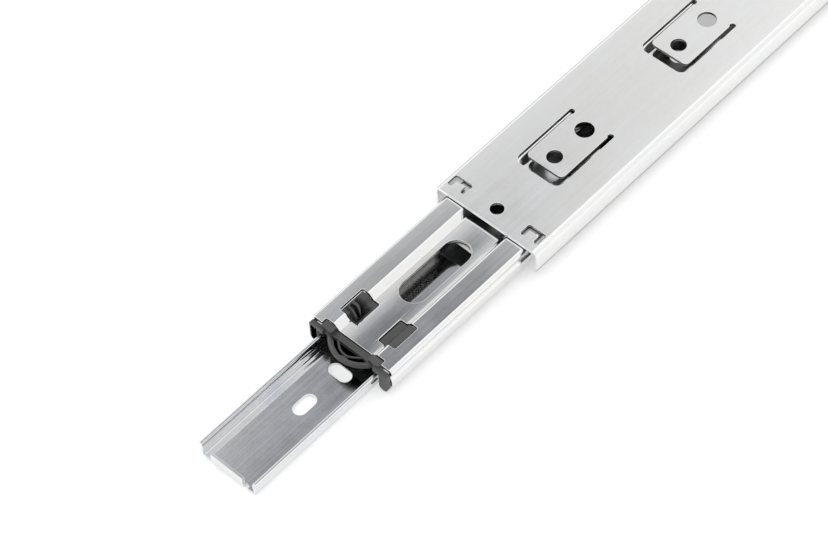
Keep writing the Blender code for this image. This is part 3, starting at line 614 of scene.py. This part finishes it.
drawer = {
    "lipHalf": innerRow[0] - 1.583 * mm,
    "footIn": 0.4 * mm,
    "corner": 1.6 * mm,
    "stopHalf": 7.2 * mm,
    "stopSlit": 1.2 * mm,
    "stopTop": 5.6 * mm,
    "stopBend": 1.6 * mm,
    "flangeBack": 0.6 * mm,
    "near": 0.01 * mm,  # how close an edge lies to the line it is looked for on
    "slotWidth": 4.9 * mm,
    "slotLength": 9.2 * mm,
    "lengthwise": (36.0 * mm, 126.0 * mm, 218.0 * mm),
    "crosswise": (52.8 * mm, 138.0 * mm, 200.0 * mm),
    "pivot": 170.0 * mm,
    "pivotHole": 1.75 * mm,
}


def drawerSection():
    foot = drawer["lipHalf"] - drawer["footIn"]
    lower, lowerTurn = grooveBend(innerRow, foot, -1)
    upper, upperTurn = grooveBend(innerRow, drawer["lipHalf"], 1)
    bend = sheet["bend"]
    web = roundedPath([
        (0, 0), (drawer["stopHalf"], 0), (drawer["stopHalf"] + drawer["stopSlit"], 0),
        (foot, 0, drawer["corner"]), (foot, lower[1]),
    ], steps=10)
    half = (
        web[:-1]
        + arcPoints(lower, bend, 0, lowerTurn, 6)
        + arcPoints(innerRow, raceRadius, 180 + lowerTurn, 180 - upperTurn, sheet["arcSteps"])[1:]
        + arcPoints(upper, bend, -upperTurn, 0, 6)[1:]
        + [(drawer["lipHalf"], drawerHigh.z)]
    )
    return mirrored(half)


# carries the flanges forward and folds the web's front edge up
def foldStop(bm, front):
    near = drawer["near"]
    half = drawer["stopHalf"] + near
    edges = [e for e in bm.edges if e.is_boundary and all(abs(v.co.x - front) < near for v in e.verts)]
    folded = [e for e in edges if all(abs(v.co.y) < half for v in e.verts)]
    wide = half + drawer["stopSlit"] - 2 * near
    flanges = [e for e in edges if all(abs(v.co.y) > wide for v in e.verts)]
    moved = bmesh.ops.extrude_edge_only(bm, edges=flanges)["geom"]
    ahead = drawer["stopBend"] - drawer["flangeBack"]
    bmesh.ops.translate(bm, verts=[v for v in moved if isinstance(v, bmesh.types.BMVert)], vec=(ahead, 0, 0))
    bend = drawer["stopBend"]
    path = arcPoints((front, bend), bend, -90, 0, 12) + [(front + bend, drawer["stopTop"])]
    for here, following in zip(path, path[1:]):
        moved = bmesh.ops.extrude_edge_only(bm, edges=folded)["geom"]
        verts = [v for v in moved if isinstance(v, bmesh.types.BMVert)]
        step = (following[0] - here[0], 0, following[1] - here[1])
        bmesh.ops.translate(bm, verts=verts, vec=step)
        folded = [e for e in moved if isinstance(e, bmesh.types.BMEdge) and all(v in verts for v in e.verts)]


def makeDrawerMember():
    front = drawerHigh.x
    bm = openSheet(drawerSection(), (drawerLow.x, front - drawer["stopBend"]))
    foldStop(bm, front - drawer["stopBend"])
    bmesh.ops.recalc_face_normals(bm, faces=bm.faces)
    if min(bm.faces, key=lambda f: f.calc_center_median().z).normal.z > 0:
        bmesh.ops.reverse_faces(bm, faces=bm.faces)
    obj = objectFrom(bm, "innerMember")
    thicken(obj, sheet["thickness"])
    half = drawer["slotWidth"] / 2
    reach = drawer["slotLength"] / 2
    shapes = [slotAlongX(front - place - reach, front - place + reach, 0, half)
              for place in drawer["lengthwise"]]
    shapes += [slotAlongY(front - place, -reach, reach, half) for place in drawer["crosswise"]]
    shapes.append(disc(front - drawer["pivot"], 0, drawer["pivotHole"], 40))
    cutOut(obj, [prism(points, -sheet["thickness"], 2 * sheet["thickness"]) for points in shapes])
    roundEdges(obj, sheet["edge"])
    smooth(obj)
    fit(obj, "drawer_side", drawerZinc, "zinc_sheet", "inner_member")


makeDrawerMember()


def makeBalls():
    bm = bmesh.new()
    bmesh.ops.create_uvsphere(bm, u_segments=28, v_segments=16, radius=ballRadius)
    ballMesh = bpy.data.meshes.new("ball")
    bm.to_mesh(ballMesh)
    bm.free()
    ballMesh.shade_smooth()
    ballMesh.materials.append(ballSteel)
    for row, body in (("outer", "outer_cage"), ("inner", "inner_cage")):
        for number in range(1, 17):
            node = f"{row}_ball_{number:02d}"
            low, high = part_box(node)
            ball = bpy.data.objects.new(f"{row}Ball{number:02d}", ballMesh)
            ball.location = (low + high) / 2
            bpy.context.scene.collection.objects.link(ball)
            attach(ball, body)
            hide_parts(node)
    print("made 32 balls")


makeBalls()
# the strips that hold the balls keep the frame's own shape
for node in ("outer_ball_retainer_left", "outer_ball_retainer_right", "inner_ball_retainer"):
    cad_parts[node].data.materials.clear()
    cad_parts[node].data.materials.append(stripZinc)


bumper = {
    "gap": 0.3 * mm,
    "bottom": drawerHigh.z + 0.4 * mm,
    "barTop": 8.75 * mm,
    "barFront": 1.1 * mm,
    "humpInner": 8.1 * mm,
    "humpTop": 10.75 * mm,
    "earInner": 13.7 * mm,
    "earOuter": middle["wallHalf"] - 0.45 * mm,
    "earBottom": 0.9 * mm,
    "earTop": 9.9 * mm,
    "earFace": 2.1 * mm,
    "archHalf": 9.8 * mm,
    "archRoot": 1.3 * mm,
    "archReach": 6.1 * mm,
    "archWall": 1.15 * mm,
    "archTop": 9.4 * mm,
    "webTop": 8.7 * mm,
    "plateTop": 8.7 * mm,
    "plateStep": 9.0 * mm,
    "plateStepTop": 10.5 * mm,
    "plateStepSlope": 1.3 * mm,
    "plateStepInset": 0.04 * mm,
    "armInward": 1.7 * mm,
    "armOutward": 1.9 * mm,
    "innerRimTop": 9.0 * mm,
    "edge": 0.12 * mm,
    # rows of distance ahead of the member's end, place across and half width, in mm
    "innerRim": ((0.9, -5.2, 0.25), (3.1, -2.2, 0.28), (3.5, 1.4, 0.28), (1.0, 5.4, 0.25)),
    "eyes": (
        ((1.3, -6.7, 0.15), (2.9, -4.3, 0.42), (4.45, -0.9, 0.25)),
        ((4.2, 2.6, 0.22), (2.9, 4.7, 0.42), (1.2, 6.6, 0.15)),
        ((1.3, -2.6, 0.10), (2.1, -0.2, 0.50), (1.3, 2.8, 0.10)),
    ),
    "comb": {"count": 3, "start": 0.75 * mm, "pitch": 1.0 * mm, "half": 0.24 * mm, "depth": 0.7 * mm,
             "belowTop": 1.2 * mm},
    "springSlots": (
        ((-10.1, -11.3, 0.34), (-9.8, -8.7, 0.34), (-8.8, -5.9, 0.22)),
        ((-12.3, -11.3, 0.60), (-12.5, -9.2, 0.52), (-11.7, -7.3, 0.34), (-10.7, -5.9, 0.18)),
    ),
}


def earOutline(side):
    corner = (bumper["earOuter"] - bumper["earInner"]) / 2 * 0.98
    root = side * (bumper["earInner"] - 2.5 * mm)
    low = bumper["bottom"] + 0.7 * mm
    return roundedPath([
        (side * bumper["earInner"], low, 0.3 * mm),
        (side * bumper["earInner"], bumper["earBottom"], corner),
        (side * bumper["earOuter"], bumper["earBottom"], corner),
        (side * bumper["earOuter"], bumper["earTop"], 0.8 * mm),
        (root, bumper["earTop"], 0.3 * mm),
        (root, low, 0.3 * mm),
    ], closed=True)


def bumperRibbon(rows):
    points = [(middleHigh.x + ahead * mm, across * mm) for ahead, across, half in rows]
    return ribbon(points, [half * mm for ahead, across, half in rows])


def bumperFace():  # the bar, the arched leaf, the humps and the two ears
    front = middleHigh.x
    gap = bumper["gap"]
    back = front - middle["notchDepth"] + gap
    wide = middle["notchHalf"] - gap
    bottom = bumper["bottom"]
    bar = roundedBox(back, front + bumper["barFront"], -wide, wide, 0.3 * mm)
    obj = objectFrom(prism(bar, bottom, bumper["barTop"]), "frontBumper")
    rise = bumper["archReach"] - bumper["archRoot"]
    radius = (bumper["archHalf"] ** 2 + rise**2) / (2 * rise)
    centre = (front + bumper["archReach"] - radius, 0)
    turn = math.degrees(math.asin(bumper["archHalf"] / radius))
    inner = radius - bumper["archWall"]
    band = arcPoints(centre, radius, -turn, turn, 30) + arcPoints(centre, inner, turn, -turn, 30)
    web = arcPoints(centre, radius - 0.4 * mm, -turn * 0.97, turn * 0.97, 30)
    web = web + [(front, bumper["archHalf"] * 0.95), (front, -bumper["archHalf"] * 0.95)]
    parts = [prism(web, bottom + 0.3 * mm, bumper["webTop"]),
             prism(band, bottom + 0.1 * mm, bumper["archTop"])]
    for side in (-1, 1):
        ends = sorted((side * bumper["humpInner"], side * wide))
        hump = roundedBox(back, front + 1.0 * mm, *ends, 0.35 * mm)
        parts.append(prism(hump, bottom + 0.2 * mm, bumper["humpTop"]))
        parts.append(prism(earOutline(side), front + gap, front + bumper["earFace"], axes="yzx"))
    parts.append(prism(bumperRibbon(bumper["innerRim"]), bottom + 0.4 * mm, bumper["innerRimTop"]))
    joinOn(obj, parts)
    for eye in bumper["eyes"]:
        cutOut(obj, [prism(bumperRibbon(eye), bottom - mm, bumper["archTop"] + mm)])
    return obj


# arms under the panel, and the plates that fill its two windows
def bumperArms():
    front = middleHigh.x
    gap = bumper["gap"]
    bottom = bumper["bottom"]
    back = front - middle["notchDepth"] + gap
    under = middle["panelZ"] - sheet["thickness"]
    inner, outside = middle["windowInner"], middle["windowOuter"]
    xBack = front - middle["window"][1]
    xFront = front - middle["window"][0]
    inset = gap + bumper["plateStepInset"]
    low = bottom + 0.3 * mm
    arms = []
    for side in (-1, 1):
        ends = sorted((side * (inner - bumper["armInward"]), side * (inner + bumper["armOutward"])))
        arm = roundedBox(xBack - mm, back + 0.6 * mm, *ends, 0.3 * mm)
        arms.append(prism(arm, bottom - 0.05 * mm, under - gap))
        ends = sorted((side * (inner + gap), side * (outside - gap)))
        plate = roundedBox(xBack + gap, xFront - gap, *ends, 0.5 * mm)
        arms.append(prism(plate, bottom - 0.02 * mm, bumper["plateTop"]))
        foot = side * (bumper["plateStep"] - bumper["plateStepSlope"])
        step = roundedPath([
            (foot, low),
            (side * (outside - inset), low),
            (side * (outside - inset), bumper["plateStepTop"], 0.3 * mm),
            (side * (bumper["plateStep"] + 0.3 * mm), bumper["plateStepTop"], 0.8 * mm),
            (foot, bumper["plateTop"] - 0.3 * mm, 0.4 * mm),
        ], closed=True)
        arms.append(prism(step, xBack + inset, xFront - inset, axes="yzx"))
    return arms


def combGrooves():  # on the face of the left ear
    comb = bumper["comb"]
    x = middleHigh.x + bumper["earFace"]
    grooves = []
    for i in range(comb["count"]):
        y = -(bumper["earInner"] + comb["start"] + i * comb["pitch"])
        groove = roundedBox(x - comb["depth"], x + mm, y - comb["half"], y + comb["half"], 0.15 * mm)
        grooves.append(prism(groove, bumper["earBottom"] - mm, bumper["earTop"] - comb["belowTop"]))
    return grooves


def makeFrontBumper():
    obj = bumperFace()
    joinOn(obj, bumperArms())
    cutOut(obj, combGrooves())
    roundEdges(obj, bumper["edge"], 35)
    # known fault: cut here, the slots leave stray walls up to 11.5 mm; cut before roundEdges they don't
    for slot in bumper["springSlots"]:
        cutOut(obj, [prism(bumperRibbon(slot), bumper["bottom"] - mm, bumper["plateStepTop"] + mm)])
    smooth(obj)
    fit(obj, "middle_side", bumperBlack, "black_plastic", "front_bumper")


makeFrontBumper()


rearBumper = {
    "corner": 1.5 * mm,
    "reliefStart": 2.2 * mm,
    "reliefPlace": 9.0 * mm,
    "reliefHalf": 1.4 * mm,
    "cellPitch": 3.1 * mm,  # shallow cells that lighten the block
    "cellHalf": 1.1 * mm,
    "cellDepth": 2.5 * mm,
    "sideCell": (11.6 * mm, 17.2 * mm),
    "backWall": 1.4 * mm,
    "frontWall": 1.2 * mm,
    "edge": 0.25 * mm,
}


def makeRearBumper():
    low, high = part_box("rear_bumper")
    obj = objectFrom(prism(roundedBox(low.x, high.x, low.y, high.y, rearBumper["corner"]), low.z, high.z),
                     "rearBumper")
    reliefs = [slotAlongX(low.x + rearBumper["reliefStart"], high.x + 4 * mm,
                          side * rearBumper["reliefPlace"], rearBumper["reliefHalf"]) for side in (-1, 1)]
    solids = [prism(points, low.z - mm, high.z + mm) for points in reliefs]
    ends = (low.x + rearBumper["backWall"], high.x - rearBumper["frontWall"])
    half = rearBumper["cellHalf"]
    cells = []
    for i in range(-2, 3):
        y = i * rearBumper["cellPitch"]
        if abs(y) + half < rearBumper["reliefPlace"] - rearBumper["reliefHalf"]:
            cells.append(roundedBox(*ends, y - half, y + half, 0.4 * mm))
    for side in (-1, 1):
        cells.append(roundedBox(*ends, *sorted(side * y for y in rearBumper["sideCell"]), 0.5 * mm))
    solids += [prism(cell, low.z - mm, low.z + rearBumper["cellDepth"]) for cell in cells]
    cutOut(obj, solids)
    roundEdges(obj, rearBumper["edge"])
    smooth(obj)
    fit(obj, "cabinet_side", bumperBlack, "black_plastic", "rear_bumper")


makeRearBumper()

lever = {
    "half": 3.2 * mm,
    "nose": 1.6 * mm,
    "boss": 4.2 * mm,
    "bossLength": 6 * mm,
    "bore": 1.75 * mm,
    "ribs": 6,
    "ribStart": 2.2 * mm,
    "ribPitch": 1.5 * mm,
    "ribWidth": 0.7 * mm,
    "ribDepth": 0.35 * mm,
    "pocket": (6.5 * mm, 3 * mm, 0.9 * mm),  # past the pivot, short of the nose, half width
    "pocketDepth": 0.8 * mm,
    "edge": 0.15 * mm,
}


def makeLever():
    low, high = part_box("disconnect_lever")
    x = drawerHigh.x - drawer["pivot"]
    half = lever["half"]
    outline = roundedPath([
        (low.x, -half, mm), (high.x, -lever["nose"], mm), (high.x, lever["nose"], mm),
        (x + lever["bossLength"], lever["boss"], 4 * mm), (x - lever["bossLength"], lever["boss"], 4 * mm),
        (low.x, half, mm),
    ], closed=True)
    obj = objectFrom(prism(outline, low.z, high.z), "disconnectLever")
    solids = [prism(disc(x, 0, lever["bore"], 40), low.z - mm, high.z + mm)]
    for i in range(lever["ribs"]):  # grip ribs at the tail
        place = low.x + lever["ribStart"] + i * lever["ribPitch"]
        rib = roundedBox(place, place + lever["ribWidth"], -4 * mm, 4 * mm, 0.2 * mm)
        solids.append(prism(rib, high.z - lever["ribDepth"], high.z + mm))
    past, short, half = lever["pocket"]
    pocket = roundedBox(x + past, high.x - short, -half, half, 0.5 * mm)
    solids.append(prism(pocket, high.z - lever["pocketDepth"], high.z + mm))
    cutOut(obj, solids)
    roundEdges(obj, lever["edge"])
    smooth(obj)
    fit(obj, "lever", leverBlack, "black_plastic", "disconnect_lever")


rivet = {"shank": 1.6 * mm, "head": 0.7 * mm, "tail": 0.1 * mm}


def makeRivet():
    low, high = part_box("lever_rivet")
    x = (low.x + high.x) / 2
    headRadius = (high.x - low.x) / 2
    shank = rivet["shank"]
    under = high.z - rivet["head"]
    profile = [(0, high.z), (0.35 * headRadius, high.z)]
    profile += arcPoints((0.55 * headRadius, high.z - 0.45 * headRadius), 0.45 * headRadius, 80, 5, 8)
    profile += [(headRadius, under), (shank, under), (shank, low.z + rivet["tail"]),
                (shank - rivet["tail"], low.z), (0, low.z)]
    bm = bmesh.new()
    line = [bm.verts.new((r, 0, z)) for r, z in profile]
    edges = [bm.edges.new(pair) for pair in zip(line, line[1:])]
    bmesh.ops.spin(bm, geom=line + edges, cent=(0, 0, 0), axis=(0, 0, 1), angle=2 * math.pi, steps=40,
                   use_merge=True)
    bmesh.ops.remove_doubles(bm, verts=bm.verts, dist=0.001 * mm)
    bmesh.ops.recalc_face_normals(bm, faces=bm.faces)
    bmesh.ops.translate(bm, verts=bm.verts, vec=(x, 0, 0))
    obj = objectFrom(bm, "leverRivet")
    smooth(obj)
    fit(obj, "drawer_side", stripZinc, "retainer_strip", "lever_rivet")


makeLever()
makeRivet()


studio = {
    "floorDrop": 0.5 * mm,
    "floorSize": 6.0,
    "floorColour": (0.55, 0.55, 0.55),
    "floorCloud": (0.905, 0.905, 0.905),
    "floorGlow": 0.42,
    "horizon": (0.10, 0.62),  # heights between which the sky brightens
    "horizonColour": (0.50, 0.51, 0.53),
    "horizonShade": 0.85,
    "window": (-0.42, 0.86, 0.28),  # the side where the sky stays bright down to the horizon
    "flag": (-0.375, -0.415, 0.829),  # middle of the overhead dark panel
    "flagShape": (1.0, 2.4, 0.6),
    "flagRamp": (  # distance from that middle, brightness, blue share
        (0.0, 0.20, 1.0), (0.055, 0.24, 1.0), (0.075, 0.38, 0.7), (0.092, 0.62, 0.2),
        (0.115, 0.74, 0.0), (0.17, 0.86, 0.0), (0.35, 1.20, 0.0), (0.8, 1.26, 0.0), (2.0, 1.08, 0.0)),
}


def makeFloor():
    bm = bmesh.new()
    bmesh.ops.create_grid(bm, x_segments=1, y_segments=1, size=studio["floorSize"])
    floor = objectFrom(bm, "studioFloor")
    floor.location.z = -studio["floorDrop"]
    n = Nodes("studioPaper")
    cloud = n.noise(3, 2)
    n.link(n.mix(cloud, studio["floorColour"], studio["floorCloud"]), n.shader.inputs["Base Color"])
    n.shader.inputs["Roughness"].default_value = 0.9
    n.shader.inputs["Specular IOR Level"].default_value = 0.1
    n.shader.inputs["Emission Color"].default_value = (1, 1, 1, 1)
    n.shader.inputs["Emission Strength"].default_value = studio["floorGlow"]
    clear = n.add("ShaderNodeBsdfTransparent")  # seen from below, the paper lets the slide show
    side = n.add("ShaderNodeMixShader")
    n.link(n.add("ShaderNodeNewGeometry").outputs["Backfacing"], side.inputs[0])
    n.link(n.shader.outputs[0], side.inputs[1])
    n.link(clear.outputs[0], side.inputs[2])
    n.link(side.outputs[0], n.tree.nodes["Material Output"].inputs["Surface"])
    floor.data.materials.append(n.material)


def skyRange(tree, value, fromLow, fromHigh, toLow, toHigh):
    node = tree.nodes.new("ShaderNodeMapRange")
    node.interpolation_type = "SMOOTHSTEP"
    for i, number in enumerate((fromLow, fromHigh, toLow, toHigh), 1):
        node.inputs[i].default_value = number
    tree.links.new(value, node.inputs[0])
    return node.outputs[0]


def makeSky():
    world = bpy.data.worlds.new("studioSky")
    bpy.context.scene.world = world
    world.use_nodes = True
    tree = world.node_tree
    background = tree.nodes["Background"]
    direction = tree.nodes.new("ShaderNodeTexCoord").outputs["Generated"]
    away = tree.nodes.new("ShaderNodeVectorMath")
    away.operation = "SUBTRACT"
    away.inputs[1].default_value = studio["flag"]
    shaped = tree.nodes.new("ShaderNodeVectorMath")
    shaped.operation = "MULTIPLY"
    shaped.inputs[1].default_value = studio["flagShape"]
    length = tree.nodes.new("ShaderNodeVectorMath")
    length.operation = "LENGTH"
    share = tree.nodes.new("ShaderNodeMath")
    share.operation = "DIVIDE"
    share.inputs[1].default_value = studio["flagRamp"][-1][0]
    ramp = tree.nodes.new("ShaderNodeValToRGB")
    stops = ramp.color_ramp.elements
    for i, (distance, bright, blue) in enumerate(studio["flagRamp"]):
        place = distance / studio["flagRamp"][-1][0]
        stop = stops[i] if i < 2 else stops.new(place)
        stop.position = place
        stop.color = (bright * (1 - 0.07 * blue), bright * (1 - 0.02 * blue), bright * (1 + 0.07 * blue), 1)
    tree.links.new(direction, away.inputs[0])
    tree.links.new(away.outputs["Vector"], shaped.inputs[0])
    tree.links.new(shaped.outputs["Vector"], length.inputs[0])
    tree.links.new(length.outputs["Value"], share.inputs[0])
    tree.links.new(share.outputs[0], ramp.inputs[0])
    height = tree.nodes.new("ShaderNodeSeparateXYZ")
    tree.links.new(direction, height.inputs[0])
    low = skyRange(tree, height.outputs["Z"], studio["horizon"][0], studio["horizon"][1], 1, 0)
    toWindow = tree.nodes.new("ShaderNodeVectorMath")
    toWindow.operation = "DOT_PRODUCT"
    toWindow.inputs[1].default_value = studio["window"]
    tree.links.new(direction, toWindow.inputs[0])
    shut = skyRange(tree, toWindow.outputs["Value"], 0.35, 0.75, studio["horizonShade"], 0)
    shade = tree.nodes.new("ShaderNodeMath")
    shade.operation = "MULTIPLY"
    tree.links.new(low, shade.inputs[0])
    tree.links.new(shut, shade.inputs[1])
    mixed = tree.nodes.new("ShaderNodeMix")
    mixed.data_type = "RGBA"
    mixed.inputs[7].default_value = (*studio["horizonColour"], 1)
    tree.links.new(shade.outputs[0], mixed.inputs[0])
    tree.links.new(ramp.outputs["Color"], mixed.inputs[6])
    tree.links.new(mixed.outputs[2], background.inputs["Color"])
    background.inputs["Strength"].default_value = 1.0


cameraView = {
    "place": (0.49965, 0.41650, 0.78440),
    "turn": (36.935, 2.624, 132.522),
    "lens": 126.84,
}


def makeCamera():
    data = bpy.data.cameras.new("camera")
    data.lens = cameraView["lens"]
    data.sensor_width = 36
    data.clip_start = 0.01
    data.clip_end = 50
    camera = bpy.data.objects.new("camera", data)
    camera.location = cameraView["place"]
    camera.rotation_euler = [math.radians(angle) for angle in cameraView["turn"]]
    bpy.context.scene.collection.objects.link(camera)
    bpy.context.scene.camera = camera


makeFloor()
makeSky()
makeCamera()
bpy.context.scene.view_settings.view_transform = "Standard"
print("studio ready")
